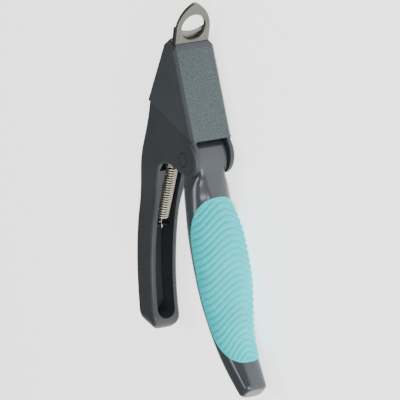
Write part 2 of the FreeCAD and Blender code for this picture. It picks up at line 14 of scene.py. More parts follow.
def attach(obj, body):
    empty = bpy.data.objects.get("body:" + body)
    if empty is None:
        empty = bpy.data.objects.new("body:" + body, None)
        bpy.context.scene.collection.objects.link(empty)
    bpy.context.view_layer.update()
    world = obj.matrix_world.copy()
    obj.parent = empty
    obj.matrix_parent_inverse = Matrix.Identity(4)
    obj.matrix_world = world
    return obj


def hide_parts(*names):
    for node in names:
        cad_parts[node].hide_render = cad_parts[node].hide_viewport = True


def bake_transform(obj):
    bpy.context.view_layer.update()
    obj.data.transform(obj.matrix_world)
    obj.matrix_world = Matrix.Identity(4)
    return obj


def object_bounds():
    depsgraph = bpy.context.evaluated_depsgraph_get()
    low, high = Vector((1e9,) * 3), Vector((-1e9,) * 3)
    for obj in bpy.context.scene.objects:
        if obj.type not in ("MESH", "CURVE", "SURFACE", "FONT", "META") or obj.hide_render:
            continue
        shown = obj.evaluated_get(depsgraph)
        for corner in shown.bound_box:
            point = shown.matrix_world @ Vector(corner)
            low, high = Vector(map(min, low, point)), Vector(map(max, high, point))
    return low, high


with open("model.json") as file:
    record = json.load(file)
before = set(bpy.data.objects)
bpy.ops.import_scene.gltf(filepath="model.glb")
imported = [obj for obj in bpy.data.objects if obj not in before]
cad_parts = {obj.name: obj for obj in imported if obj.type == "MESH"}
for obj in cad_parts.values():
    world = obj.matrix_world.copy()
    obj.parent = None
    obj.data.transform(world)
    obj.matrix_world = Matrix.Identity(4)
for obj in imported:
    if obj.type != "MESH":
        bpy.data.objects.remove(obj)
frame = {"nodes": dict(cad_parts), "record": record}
CAD_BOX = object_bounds()
LOG = logging.getLogger("clipper")
MM = 0.001
# the cap's front face falls back by 16.6 mm while it climbs 25.5 mm
FRONT_CLIMB, FRONT_FALL = 25.5, 16.6
FRONT_NORMAL = np.array([FRONT_CLIMB, FRONT_FALL, 0.0]) / np.hypot(FRONT_CLIMB, FRONT_FALL)


# ---------------------------------------------------------------- shared helpers


def linear(hex_colour: str) -> tuple[float, float, float, float]:
    """Turns an sRGB hex colour into linear light.

    Args:
        hex_colour: six hex digits after a hash sign.

    Returns:
        Red, green and blue in linear light, and full alpha.
    """
    parts = [int(hex_colour[at:at + 2], 16) / 255 for at in (1, 3, 5)]
    light = [part / 12.92 if part <= 0.04045 else ((part + 0.055) / 1.055) ** 2.4 for part in parts]
    return (light[0], light[1], light[2], 1.0)


def add_node(tree: bpy.types.NodeTree, kind: str, settings: dict | None = None, **inputs) -> bpy.types.Node:
    """Adds a shader node, sets its properties and inputs, and links what is a socket.

    Args:
        tree: the material's node tree.
        kind: Blender's name of the node type.
        settings: properties of the node itself.
        inputs: input name, with spaces as underscores, or i and its number where names repeat, to a
            value or to the output socket to link.

    Returns:
        The new node.
    """
    node = tree.nodes.new(kind)
    for name, value in (settings or {}).items():
        setattr(node, name, value)
    for name, value in inputs.items():
        by_number = name[0] == "i" and name[1:].isdigit()
        socket = node.inputs[int(name[1:]) if by_number else name.replace("_", " ")]
        if isinstance(value, bpy.types.NodeSocket):
            tree.links.new(value, socket)
        else:
            socket.default_value = value
    return node


def joint_place(name: str) -> np.ndarray:
    """Finds where a joint's axis lies.

    Args:
        name: the joint's name in the record.

    Returns:
        The joint's position in metres.
    """
    joint = next(item for item in frame["record"]["behaviour"]["joints"] if item["name"] == name)
    return np.array(joint["pos_m"], dtype=float)


class Grain(Enum):
    """How a surface was made, which sets its bump and how its colour varies; on the spark finish that
    variation is painted glints.
    """

    MOULDED = "moulded"
    SPARK = "spark"
    BRUSHED = "brushed"
    RUBBER = "rubber"


# the slow change of colour and gloss over a moulding, in cycles a metre, and how deep a grain can be
BROAD_SCALE = 90.0
GRAIN_DEPTH = 0.00006
COAT_ROUGHNESS = 0.12
GLOSS_SPREAD = 0.04


@dataclass(frozen=True)
class Finish:
    """One finish: its material's name, colours, gloss and grain; the handle's and the cap front's colours
    also hold painted shade and painted glints.
    """

    name: str
    base: str
    shade: str
    roughness: float
    metallic: float = 0.0
    coat: float = 0.0
    specular: float = 0.5
    grain: Grain = Grain.MOULDED
    grain_mm: float = 0.35
    bump: float = 0.05

    def material(self) -> bpy.types.Material:
        """Finds the finish's material, or builds it from a principled shader, two noises and a bump.

        Returns:
            The material, one for each finish.
        """
        known = bpy.data.materials.get(self.name)
        if known:
            return known
        material = bpy.data.materials.new(self.name)
        material.use_nodes = True
        tree = material.node_tree
        shader = tree.nodes["Principled BSDF"]
        place = add_node(tree, "ShaderNodeTexCoord").outputs["Object"]
        stretch = (1.0, 0.04, 1.0) if self.grain is Grain.BRUSHED else (1.0, 1.0, 1.0)
        turned = add_node(tree, "ShaderNodeMapping", None, Vector=place, Scale=stretch).outputs[0]
        grain_scale = 1 / (self.grain_mm * MM)
        noise = "ShaderNodeTexNoise"
        fine = add_node(tree, noise, None, Vector=turned, Scale=grain_scale, Detail=3.0, Roughness=0.6)
        fine = fine.outputs["Fac"]
        broad = add_node(tree, noise, None, Vector=place, Scale=BROAD_SCALE, Detail=2.0).outputs["Fac"]
        # on the spark finish the fine noise mixes in painted glints, lighter specks standing for the
        # relief's highlights; on brushed metal it is the real grain
        tint = fine if self.grain in (Grain.SPARK, Grain.BRUSHED) else broad
        spread = "ShaderNodeMapRange"
        sharp = add_node(tree, spread, None, Value=tint, From_Min=0.35, From_Max=0.65).outputs[0]
        base, shade = linear(self.base), linear(self.shade)
        mixed = add_node(tree, "ShaderNodeMix", {"data_type": "RGBA"}, Factor=sharp, i6=base, i7=shade)
        tree.links.new(mixed.outputs[2], shader.inputs["Base Color"])
        shader.inputs["Metallic"].default_value = self.metallic
        shader.inputs["Coat Weight"].default_value = self.coat
        shader.inputs["Coat Roughness"].default_value = COAT_ROUGHNESS
        shader.inputs["Specular IOR Level"].default_value = self.specular
        low, high = self.roughness - GLOSS_SPREAD, self.roughness + GLOSS_SPREAD
        rough = add_node(tree, spread, None, Value=broad, To_Min=low, To_Max=high)
        tree.links.new(rough.outputs[0], shader.inputs["Roughness"])
        if self.bump > 0:
            relief = {"Height": fine, "Strength": self.bump, "Distance": GRAIN_DEPTH}
            bump = add_node(tree, "ShaderNodeBump", None, **relief)
            tree.links.new(bump.outputs[0], shader.inputs["Normal"])
        return material


# injection-moulded nylon, satin from the tool's fine polish: dark grey with a cold cast, painted darker than
# the cap's sides of the same nylon as painted shade on the handle's sides and in its spring channel; the
# pivot caps wear it too
HANDLE_PAINTED_SHADE = Finish("nylon_moulded_satin_painted_shade", "#2b2f32", "#2f3336", 0.42, specular=0.35)
# the cap's sides, from the same polished half of its tool
COVER_SIDE = Finish("nylon_cover_satin", "#31363a", "#353a3e", 0.4, specular=0.35)
# the cap's front, from a spark-eroded face: the bump is its real relief, and the lighter speckle mixed into
# its colour is painted highlight, the glints of that relief, which also paints the front lighter than the
# cap's sides
COVER = Finish(
    "nylon_spark_textured_painted_glints", "#2e3638", "#4a5557", 0.62,
    specular=0.3, grain=Grain.SPARK, grain_mm=0.32, bump=0.9,
)
# the lever, from a mirror-polished tool
LEVER = Finish("nylon_moulded_gloss", "#2c3035", "#303439", 0.27, coat=0.2, specular=0.4, bump=0.0)
# moulded-on rubber: saturated, soft sheen, no sharp reflections
GRIP = Finish("thermoplastic_rubber", "#06b6be", "#0cc0c6", 0.6, specular=0.22, grain=Grain.RUBBER, bump=0.0)
# stamped plate, tumbled to a warm satin grey
PLATE = Finish("stamped_stainless_steel", "#6c6b65", "#5f5e59", 0.42, metallic=1.0, grain=Grain.BRUSHED)
# the blade's ground faces, a little brighter than the plates
BLADE = Finish("ground_carbon_steel", "#77766f", "#6a6964", 0.34, metallic=1.0, grain=Grain.BRUSHED)
# the spring's two pins, blackened against rust
BLACKENED = Finish("blackened_steel", "#26272a", "#202124", 0.45, metallic=0.6)
# the other pins, screws and rivets, as turned
PIN = Finish("turned_steel", "#a3a29e", "#92918d", 0.28, metallic=1.0)
# bright drawn wire: near white where it faces the light, brown-black between the coils
WIRE = Finish("drawn_spring_wire", "#dcd6c8", "#cbc5b8", 0.34, metallic=1.0, bump=0.0)
# the blade's carrier, in undyed plastic
ACETAL = Finish("natural_acetal", "#b9b8b0", "#aeada5", 0.45)
# the pivot's bush
BRASS = Finish("turned_brass", "#c2a35f", "#b08f4c", 0.3, metallic=1.0)

NODE_FINISH = {
    "fixed_handle": HANDLE_PAINTED_SHADE,
    "head_cover": COVER_SIDE,
    "pivot_cap_left": HANDLE_PAINTED_SHADE,
    "pivot_cap_right": HANDLE_PAINTED_SHADE,
    "lever_core": LEVER,
    "grip_sleeve": GRIP,
    "ring_plate": PLATE,
    "guide_plate": PLATE,
    "guide_spacer_left": PLATE,
    "guide_spacer_right": PLATE,
    "blade": BLADE,
    "blade_carrier": ACETAL,
    "pivot_bush": BRASS,
    "return_spring": WIRE,
    "spring_anchor_pin": BLACKENED,
    "spring_hook_pin": BLACKENED,
}


def dress_frame() -> None:
    """Gives every CAD node the finish of its material, with painted shade in the colour of the handle's and
    pivot caps' finish.
    """
    for name, node in frame["nodes"].items():
        finish = NODE_FINISH.get(name, PIN)
        for slot in node.material_slots:
            slot.material = finish.material()
        LOG.info("%s wears %s", name, finish.name)


# ---------------------------------------------------------------- shape helpers


def spline(knots: np.ndarray, values: np.ndarray, at: np.ndarray) -> np.ndarray:
    """Evaluates the natural cubic spline through the given values.

    Args:
        knots: n rising parameters.
        values: n rows of one or more values.
        at: the parameters to evaluate at.

    Returns:
        One row for each parameter. The second slopes m solve the usual three-term equations
        h0 m0 + 2 (h0 + h1) m1 + h1 m2 = 6 (step1 / h1 - step0 / h0), with m zero at both ends.
    """
    knots = np.asarray(knots, dtype=float)
    values = np.asarray(values, dtype=float).reshape(len(knots), -1)
    width = np.diff(knots)
    slope = np.diff(values, axis=0) / width[:, None]
    count = len(knots)
    system = np.eye(count)
    inner = np.arange(1, count - 1)
    system[inner, inner - 1] = width[:-1]
    system[inner, inner] = 2 * (width[:-1] + width[1:])
    system[inner, inner + 1] = width[1:]
    right = np.zeros_like(values)
    right[1:-1] = 6 * np.diff(slope, axis=0)
    bend = np.linalg.solve(system, right)
    place = np.clip(np.searchsorted(knots, at) - 1, 0, count - 2)
    span = width[place][:, None]
    after = (np.asarray(at)[:, None] - knots[place][:, None]) / span
    before = 1 - after
    curve = before * values[place] + after * values[place + 1]
    lift = (before ** 3 - before) * bend[place] + (after ** 3 - after) * bend[place + 1]
    return curve + lift * span ** 2 / 6


def turn_about_z(degrees: float) -> np.ndarray:
    """Makes the matrix that turns points about Z.

    Args:
        degrees: the angle, from +X towards +Y.

    Returns:
        The three by three matrix.
    """
    ahead, aside = math.cos(math.radians(degrees)), math.sin(math.radians(degrees))
    return np.array([[ahead, -aside, 0], [aside, ahead, 0], [0, 0, 1]])


def smoothstep(low: float, high: float, value: np.ndarray) -> np.ndarray:
    """Rises smoothly from 0 at low to 1 at high.

    Args:
        low: where the rise starts.
        high: where it ends.
        value: the values to map.

    Returns:
        t t (3 - 2 t), with t the clipped share of the way from low to high.
    """
    share = np.clip((value - low) / (high - low), 0, 1)
    return share * share * (3 - 2 * share)


def grid_faces(rows: int, columns: int, wrap_rows: bool = False) -> np.ndarray:
    """Lists the quads of a grid whose columns close on themselves.

    Args:
        rows: points along the first direction.
        columns: points round the second direction, which wraps.
        wrap_rows: whether the first direction wraps too.

    Returns:
        Four indices for each quad.
    """
    index = np.arange(rows * columns).reshape(rows, columns)
    if wrap_rows:
        index = np.vstack([index, index[:1]])
    here, below = index[:-1], index[1:]
    quads = np.stack([here, np.roll(here, -1, axis=1), np.roll(below, -1, axis=1), below], axis=-1)
    return quads.reshape(-1, 4)


def mesh_object(name: str, points: np.ndarray, quads: np.ndarray, triangles: np.ndarray | None = None,
                sharp_deg: float = 50.0) -> bpy.types.Object:
    """Makes a mesh object from whole arrays, smooth except at edges sharper than an angle.

    Args:
        name: the object's name.
        points: one row of three metres for each vertex, in the row frame.
        quads: four indices for each quad.
        triangles: three indices for each triangle, if there are any.
        sharp_deg: the angle above which an edge stays sharp.

    Returns:
        The new object, with its faces turned outward.
    """
    mesh = bpy.data.meshes.new(name)
    faces = quads.tolist() + (triangles.tolist() if triangles is not None else [])
    mesh.from_pydata(points.reshape(-1, 3).tolist(), [], faces)
    shape = bmesh.new()
    shape.from_mesh(mesh)
    bmesh.ops.recalc_face_normals(shape, faces=shape.faces)
    shape.to_mesh(mesh)
    shape.free()
    mesh.polygons.foreach_set("use_smooth", np.ones(len(mesh.polygons), dtype=bool))
    mesh.set_sharp_from_angle(angle=math.radians(sharp_deg))
    item = bpy.data.objects.new(name, mesh)
    bpy.context.scene.collection.objects.link(item)
    return item


def capped_loops(name: str, loops: np.ndarray, sharp_deg: float = 50.0) -> bpy.types.Object:
    """Skins a stack of closed loops and closes both ends with a fan.

    Args:
        name: the object's name.
        loops: rows by columns by three metres.
        sharp_deg: the angle above which an edge stays sharp.

    Returns:
        The new object.
    """
    rows, columns = loops.shape[:2]
    ends = np.stack([loops[0].mean(axis=0), loops[-1].mean(axis=0)])
    points = np.vstack([loops.reshape(-1, 3), ends])
    first = np.arange(columns)
    last = first + (rows - 1) * columns
    top = np.stack([np.full(columns, rows * columns), np.roll(first, -1), first], axis=-1)
    bottom = np.stack([np.full(columns, rows * columns + 1), last, np.roll(last, -1)], axis=-1)
    return mesh_object(name, points, grid_faces(rows, columns), np.vstack([top, bottom]), sharp_deg)


def finish_piece(item: bpy.types.Object, finish: Finish, body: str, nodes: tuple[str, ...]) -> None:
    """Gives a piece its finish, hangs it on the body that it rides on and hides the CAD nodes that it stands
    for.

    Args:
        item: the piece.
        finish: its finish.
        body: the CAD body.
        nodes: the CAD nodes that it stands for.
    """
    item.data.materials.append(finish.material())
    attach(item, body)
    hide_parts(*nodes)
    LOG.info("%s: %d faces on %s", item.name, len(item.data.polygons), body)


# ---------------------------------------------------------------- lever


@dataclass
class LeverForm:
    """The lever's oval form, in its own frame: X to the front, -Y down its length, Z across, in millimetres.

    Each station holds the distance from the pivot, the middle line's place to the front, half the depth,
    half the width, the section's tilt in degrees and the power of its superellipse.
    """

    lean_deg: float = 30.0
    stations: tuple[tuple[float, ...], ...] = (
        (2.8, 0.0, 5.93, 5.5, 0.0, 7.0),
        (4.5, -0.72, 6.18, 5.5, 0.0, 5.2),
        (6.5, -1.17, 6.38, 5.75, 0.0, 3.6),
        (9.0, -1.4, 6.6, 6.75, 0.0, 2.6),
        (15.8, -1.8, 7.36, 7.73, 0.0, 2.05),
        (23.7, -0.7, 8.51, 8.9, 0.0, 2.0),
        (33.6, -0.1, 8.9, 9.3, 0.0, 2.0),
        (43.5, 0.1, 8.65, 9.05, 0.0, 2.0),
        (53.4, -0.3, 7.42, 7.85, 0.0, 2.0),
        (63.3, 0.8, 5.99, 6.45, 6.0, 2.1),
        (72.2, 4.2, 4.77, 5.25, 16.0, 2.6),
        (79.2, 7.7, 3.8, 4.3, 24.0, 3.0),
    )

    def local(self, distance: np.ndarray, angle: np.ndarray, offset: np.ndarray) -> np.ndarray:
        """Finds points of the form in the lever's own frame.

        Args:
            distance: how far down from the pivot each point's section lies.
            angle: the polar angle in the section, zero at the front.
            offset: how far outside the form, in millimetres.

        Returns:
            The points in millimetres. In a section with half depth a, half width b and power n the
            radius at angle t is (|cos t / a|^n + |sin t / b|^n)^(-1 / n).
        """
        distance, angle, offset = np.broadcast_arrays(distance, angle, offset)
        table = np.array(self.stations)
        drawn = spline(table[:, 0], table[:, 1:], distance.ravel())
        middle, deep, wide, tilt, power = drawn.T.reshape(5, *distance.shape)
        power = np.maximum(power, 2.0)
        ahead, aside = np.cos(angle), np.sin(angle)
        reach = np.abs(ahead / (deep + offset)) ** power + np.abs(aside / (wide + offset)) ** power
        radius = reach ** (-1 / power)
        tilt = np.radians(tilt)
        return np.stack([
            middle + radius * ahead * np.cos(tilt),
            -distance + radius * ahead * np.sin(tilt),
            radius * aside,
        ], axis=-1)

    def to_row(self, local: np.ndarray) -> np.ndarray:
        """Moves points from the lever's own frame to the row frame.

        Args:
            local: points in millimetres.

        Returns:
            The points in metres, turned by the lever's lean about the pivot.
        """
        return local @ turn_about_z(self.lean_deg).T * MM + joint_place("lever_joint")


@dataclass
class GripLeaf:
    """The leaf-shaped border of the grip, seen from the side, in the lever's own frame."""

    form: LeverForm
    top_curve: tuple[tuple[float, float], ...] = (
        (14, -11.9), (6, -13.4), (2.6, -16.3), (0.3, -20.6), (-0.8, -27.0))
    low_curve: tuple[tuple[float, float], ...] = (
        (-0.8, -54.0), (0.1, -60.3), (3.0, -64.8), (7.0, -68.2), (10.0, -69.6), (16.0, -70.4))
    searched: tuple[float, float] = (11.0, 75.0)

    def back_edge(self, height: np.ndarray) -> np.ndarray:
        """Finds how far back the leaf reaches at a height.

        Args:
            height: Y in the lever's own frame.

        Returns:
            X of the border there. Each curve is a spline over the length of its chords.
        """
        runs = []
        for curve in (self.top_curve, self.low_curve):
            knots = np.array(curve)
            length = np.concatenate([[0], np.cumsum(np.hypot(*np.diff(knots, axis=0).T))])
            runs.append(spline(length, knots, np.linspace(0, length[-1], 200)))
        border = np.vstack(runs)
        return np.interp(-height, -border[:, 1], border[:, 0])

    def inside(self, distance: np.ndarray, angle: np.ndarray) -> np.ndarray:
        """Measures how far inside the border points of the form lie, along X.

        Args:
            distance: the sections' distances from the pivot.
            angle: the polar angles.

        Returns:
            Millimetres, positive inside the leaf.
        """
        spot = self.form.local(distance, angle, 0.0)
        return spot[..., 0] - self.back_edge(spot[..., 1])

    def ends(self) -> tuple[float, float]:
        """Finds where the leaf starts and ends along the front.

        Returns:
            The two distances from the pivot.
        """
        distance = np.linspace(*self.searched, 6401)
        within = distance[self.inside(distance, 0.0) > 0]
        return float(within[0]), float(within[-1])

    def half_angle(self, distance: np.ndarray) -> np.ndarray:
        """Finds the border's polar angle in each section.

        Args:
            distance: the sections' distances from the pivot.

        Returns:
            The first angle at which the form passes outside the leaf, in radians.
        """
        angle = np.linspace(0, math.pi, 721)
        depth = self.inside(distance[:, None], angle[None, :])
        first = np.maximum(np.argmax(depth < 0, axis=1), 1)
        rows = np.arange(len(distance))
        before, after = depth[rows, first - 1], depth[rows, first]
        share = np.clip(before / np.maximum(before - after, 1e-9), 0, 1)
        return angle[first - 1] + share * (angle[1] - angle[0])


@dataclass
class GripSleeve:
    """The rubber grip: a smooth rim round waved ribs that crest along the lever's front."""

    form: LeverForm
    leaf: GripLeaf
    pitch: float = 2.2
    crest_deg: float = -8.6
    left_sweep: float = 6.4
    left_deg: float = 88.0
    right_sweep: float = 3.8
    right_deg: float = 54.0
    groove_floor: float = -0.1
    rib_height: float = 0.5
    rim_height: float = 0.3
    rim_width: float = 0.55
    edge_round: float = 0.22
    root: float = -0.9
    rim_fade: float = 0.7
    mean_radius: float = 8.0
    end_ease: float = 0.05
    back_columns: int = 9
    rows: int = 310
    columns: int = 105

    def build(self) -> bpy.types.Object:
        """Builds the grip as a stack of closed loops that shrink to a point at both ends of the leaf.

        Returns:
            The grip.
        """
        start, end = self.leaf.ends()
        ease = self.end_ease
        share = np.linspace(0, 1, self.rows)
        slow_start = share ** 2 / (2 * ease)
        slow_end = 1 - ease - (1 - share) ** 2 / (2 * ease)
        even = np.select([share < ease, share > 1 - ease], [slow_start, slow_end], share - ease / 2)
        distance = start + (end - start) * even / (1 - ease)
        border = np.maximum(self.leaf.half_angle(distance), 1e-3)
        border[[0, -1]] = 1e-3

        fine = 1 - np.array([0.0, 0.003, 0.007, 0.012, 0.02, 0.03])
        across = np.concatenate([-fine, np.linspace(-0.955, 0.955, self.columns), fine[::-1]])
        angle = across[None, :] * border[:, None]
        inset = self.border_distance(distance, border, angle)
        offset = self.relief(distance[:, None], angle, inset)

        under = np.linspace(0.93, -0.93, self.back_columns)
        wall = np.array([0.992, 0.975])
        back = np.concatenate([wall, under, -wall[::-1]])
        back_offset = np.concatenate([[-0.1, -0.6], np.full(self.back_columns, self.root), [-0.6, -0.1]])
        turn = np.hstack([angle, back[None, :] * border[:, None]])
        lift = np.hstack([offset, np.broadcast_to(back_offset, (self.rows, len(back)))])
        loops = self.form.to_row(self.form.local(distance[:, None], turn, lift))
        item = capped_loops("grip_ribbed", loops, 70.0)
        finish_piece(item, GRIP, "lever", ("grip_sleeve",))
        return item

    def border_distance(self, distance: np.ndarray, border: np.ndarray, angle: np.ndarray) -> np.ndarray:
        """Measures how far each point of the outer face lies from the leaf's border.

        Args:
            distance: the rows' distances from the pivot.
            border: the rows' border angles.
            angle: the polar angle of each point, rows by columns.

        Returns:
            Millimetres: with p the gap round the section and q the gap along the lever,
            p q / hypot(p, q).
        """
        around = (border[:, None] - np.abs(angle)) * self.mean_radius
        widest = int(np.argmax(border))
        upper = np.interp(np.abs(angle), np.maximum.accumulate(border[:widest + 1]), distance[:widest + 1])
        low_border = np.maximum.accumulate(border[widest:][::-1])
        lower = np.interp(np.abs(angle), low_border, distance[widest:][::-1])
        along = np.maximum(np.minimum(distance[:, None] - upper, lower - distance[:, None]), 0)
        return around * along / np.maximum(np.hypot(around, along), 1e-9)

    def relief(self, distance: np.ndarray, angle: np.ndarray, inset: np.ndarray) -> np.ndarray:
        """Works out the height of rim and ribs.

        Args:
            distance: distance from the pivot.
            angle: polar angle.
            inset: distance from the border.

        Returns:
            Millimetres above the lever's form. A rib follows
            distance = constant + sweep (1 - cos(pi t / T)) / 2 at t past the crest, with its own sweep
            and T on each side, and its section is 1 - ((1 + cos(2 pi phase)) / 2)^3.
        """
        past = angle - math.radians(self.crest_deg)
        left = np.maximum(past, 0) / math.radians(self.left_deg)
        right = np.clip(-past / math.radians(self.right_deg), 0, 1)
        left_fall = self.left_sweep * (1 - np.cos(math.pi * left))
        fall = left_fall + self.right_sweep * (1 - np.cos(math.pi * right))
        phase = (distance - fall / 2) / self.pitch
        ridge = 1 - (0.5 + 0.5 * np.cos(2 * math.pi * phase)) ** 3
        ribbed = self.groove_floor + self.rib_height * ridge
        fade = smoothstep(self.rim_width, self.rim_width + self.rim_fade, inset)
        height = self.rim_height * (1 - fade) + ribbed * fade
        lack = np.clip(self.edge_round - inset, 0, self.edge_round)
        return height - (self.edge_round - np.sqrt(self.edge_round ** 2 - lack ** 2))


@dataclass
class LeverShell:
    """The lever's glossy moulding: its form with a blended neck and a squared, rounded tip."""

    form: LeverForm
    leaf: GripLeaf
    tip_round: float = 1.5
    seat_depth: float = 0.7
    seat_wall: tuple[float, float] = (0.35, 1.4)
    tip_insets: tuple[float, float] = (2.4, 3.2)
    rows: int = 220
    columns: int = 112

    def build(self) -> bpy.types.Object:
        """Builds the moulding as closed loops from inside the barrel to the tip.

        Returns:
            The moulding.
        """
        table = np.array(self.form.stations)
        start, end = table[0, 0], table[-1, 0]
        curl = np.linspace(0, math.pi / 2, 14)
        straight = np.linspace(start, end - self.tip_round, self.rows)
        distance = np.concatenate([straight, end - self.tip_round * (1 - np.sin(curl[1:])), [end, end]])
        curled = self.tip_round * (1 - np.cos(curl[1:]))
        shrink = np.concatenate([np.zeros(self.rows), curled, self.tip_insets])
        angle = np.linspace(0, 2 * math.pi, self.columns, endpoint=False)
        folded = np.minimum(angle, 2 * math.pi - angle)
        inside = self.leaf.inside(distance[:, None], folded[None, :])
        offset = -self.seat_depth * smoothstep(*self.seat_wall, inside) - shrink[:, None]
        loops = self.form.to_row(self.form.local(distance[:, None], angle[None, :], offset))
        item = capped_loops("lever_moulding", loops, 60.0)
        finish_piece(item, LEVER, "lever", ("lever_core",))
        return item


@dataclass
class LeverBarrel:
    """The lever's bored barrel between the cheeks."""

    radius: float = 6.6
    bore: float = 2.4
    half: float = 5.6
    rounding: float = 0.45
    flat_edge: float = 1.2
    segments: int = 128

    def build(self) -> bpy.types.Object:
        """Turns the barrel's closed section about the pivot.

        Returns:
            The barrel.
        """
        curl = np.linspace(0, math.pi / 2, 6)
        corner = np.stack([
            self.radius - self.rounding + self.rounding * np.sin(curl),
            self.half - self.rounding + self.rounding * np.cos(curl),
        ], axis=-1)
        rim = self.radius - self.flat_edge
        flat = np.array([[self.bore, -self.half], [self.bore, self.half], [rim, self.half]])
        mirrored = corner[::-1] * [1, -1]
        section = np.vstack([flat, corner, mirrored, [[rim, -self.half]]])
        angle = np.linspace(0, 2 * math.pi, self.segments, endpoint=False)
        points = np.stack([
            section[None, :, 0] * np.cos(angle)[:, None],
            section[None, :, 0] * np.sin(angle)[:, None],
            np.broadcast_to(section[:, 1], (self.segments, len(section))),
        ], axis=-1) * MM + joint_place("lever_joint")
        item = mesh_object("lever_barrel", points, grid_faces(self.segments, len(section), wrap_rows=True))
        finish_piece(item, LEVER, "lever", ("lever_core",))
        return item


# ---------------------------------------------------------------- plates


@dataclass
class HoledPlate:
    """A flat plate with one round hole, cut by an outline that is seen whole from the hole's centre."""

    name: str
    outline: np.ndarray
    hole: float
    half: float
    edge_round: float
    hole_round: float

    def build(self) -> tuple[np.ndarray, np.ndarray]:
        """Builds the plate on its own plane: rings of points from the hole's wall to the outline and back.

        Returns:
            The points in millimetres, with the third one across the plate, and the quads.
        """
        span = np.roll(self.outline, -1, axis=0) - self.outline
        steps = np.maximum(np.hypot(*span.T) / 0.25, 1).astype(int)
        dense = np.repeat(self.outline, steps, axis=0)
        count = np.arange(steps.sum()) - np.repeat(np.cumsum(steps) - steps, steps)
        dense = dense + np.repeat(span / steps[:, None], steps, axis=0) * count[:, None]
        reach = np.hypot(*dense.T)
        ray = dense / reach[:, None]
        curl = np.linspace(0, math.pi / 2, 5)
        rise = 1 - np.cos(curl)
        run = 1 - np.sin(curl)
        near = np.stack([self.hole_round * rise, self.half - self.hole_round * run], axis=-1)
        far = np.stack([self.edge_round * rise, self.half - self.edge_round * run], axis=-1)
        front = [("near", *row) for row in near] + [("near", self.hole_round + 0.06, self.half)]
        front += [("far", self.edge_round + 0.06, self.half)] + [("far", *row) for row in far[::-1]]
        section = front + [(side, inset, -level) for side, inset, level in front[::-1]]
        rings = []
        for side, inset, level in section:
            radius = self.hole + inset if side == "near" else reach - inset
            flat = ray * np.broadcast_to(radius, reach.shape)[:, None]
            rings.append(np.column_stack([flat, np.full(len(flat), level)]))
        points = np.stack(rings, axis=1)
        return points, grid_faces(len(dense), len(section), wrap_rows=True)


def arc_points(start: tuple[float, float], mid: tuple[float, float], end: tuple[float, float],
               count: int) -> np.ndarray:
    """Lays points along the circle's arc through three points.

    Args:
        start: the first point.
        mid: a point on the arc.
        end: the last point.
        count: how many points.

    Returns:
        The points, with the centre found from the two chords' perpendicular middles.
    """
    first, second, third = (np.array(point, dtype=float) for point in (start, mid, end))
    rows = 2 * np.array([second - first, third - first])
    centre = np.linalg.solve(rows, [second @ second - first @ first, third @ third - first @ first])
    spokes = np.array([first, second, third]) - centre
    angles = np.unwrap(np.arctan2(spokes[:, 1], spokes[:, 0]))
    sweep = np.linspace(angles[0], angles[2], count)
    return centre + np.hypot(*spokes[0]) * np.stack([np.cos(sweep), np.sin(sweep)], axis=-1)


@dataclass
class RingPlate:
    """The stamped ring plate whose hole takes the claw, in the row frame's YZ plane."""

    half_width: float = 6.35
    shank_half: float = 6.3
    foot: float = -23.6
    hip: float = -0.8
    apex: float = 8.6
    apex_half: float = 0.8
    apex_drop: float = 0.2
    haunch: tuple[float, float] = (4.45, 5.1)
    hole: float = 4.5
    thickness: float = 1.5

    def build(self) -> bpy.types.Object:
        """Builds the plate with softly broken edges.

        Returns:
            The plate.
        """
        shoulder = self.apex - self.apex_drop
        right = arc_points((self.half_width, self.hip), self.haunch, (self.apex_half, shoulder), 40)
        crown = arc_points((self.apex_half, shoulder), (0, self.apex), (-self.apex_half, shoulder), 9)
        outline = np.vstack([[(self.shank_half, self.foot)], right, crown[1:-1], right[::-1] * [-1, 1],
                             [(-self.shank_half, self.foot)]])
        plate = HoledPlate("ring_plate_stamped", outline, self.hole, self.thickness / 2, 0.22, 0.14)
        flat, quads = plate.build()
        points = np.stack([flat[..., 2], flat[..., 1], flat[..., 0]], axis=-1) * MM
        item = mesh_object(plate.name, points, quads, sharp_deg=60.0)
        finish_piece(item, PLATE, "frame", ("ring_plate",))
        return item


@dataclass
class DriveArm:
    """The lever's rear arm, from the barrel to the eye of the drive pin."""

    reach: float = 16.4
    start: float = 4.0
    half_height: float = 2.3
    half: float = 1.9
    eye: float = 1.0
    turn_deg: float = 194.0

    def build(self) -> bpy.types.Object:
        """Builds the arm as a plate round the eye, laid out from the pivot.

        Returns:
            The arm.
        """
        angle = np.linspace(-math.pi / 2, math.pi / 2, 25)
        cap = self.half_height * np.stack([np.cos(angle), np.sin(angle)], axis=-1)
        tail = self.start - self.reach
        outline = np.vstack([cap, [(tail, self.half_height)], [(tail, -self.half_height)]])
        flat, quads = HoledPlate("lever_arm", outline, self.eye, self.half, 0.3, 0.1).build()
        flat = flat + [self.reach, 0, 0]
        points = flat @ turn_about_z(self.turn_deg).T * MM + joint_place("lever_joint")
        item = mesh_object("lever_arm", points, quads)
        finish_piece(item, LEVER, "lever", ("lever_core",))
        return item


# ---------------------------------------------------------------- return spring


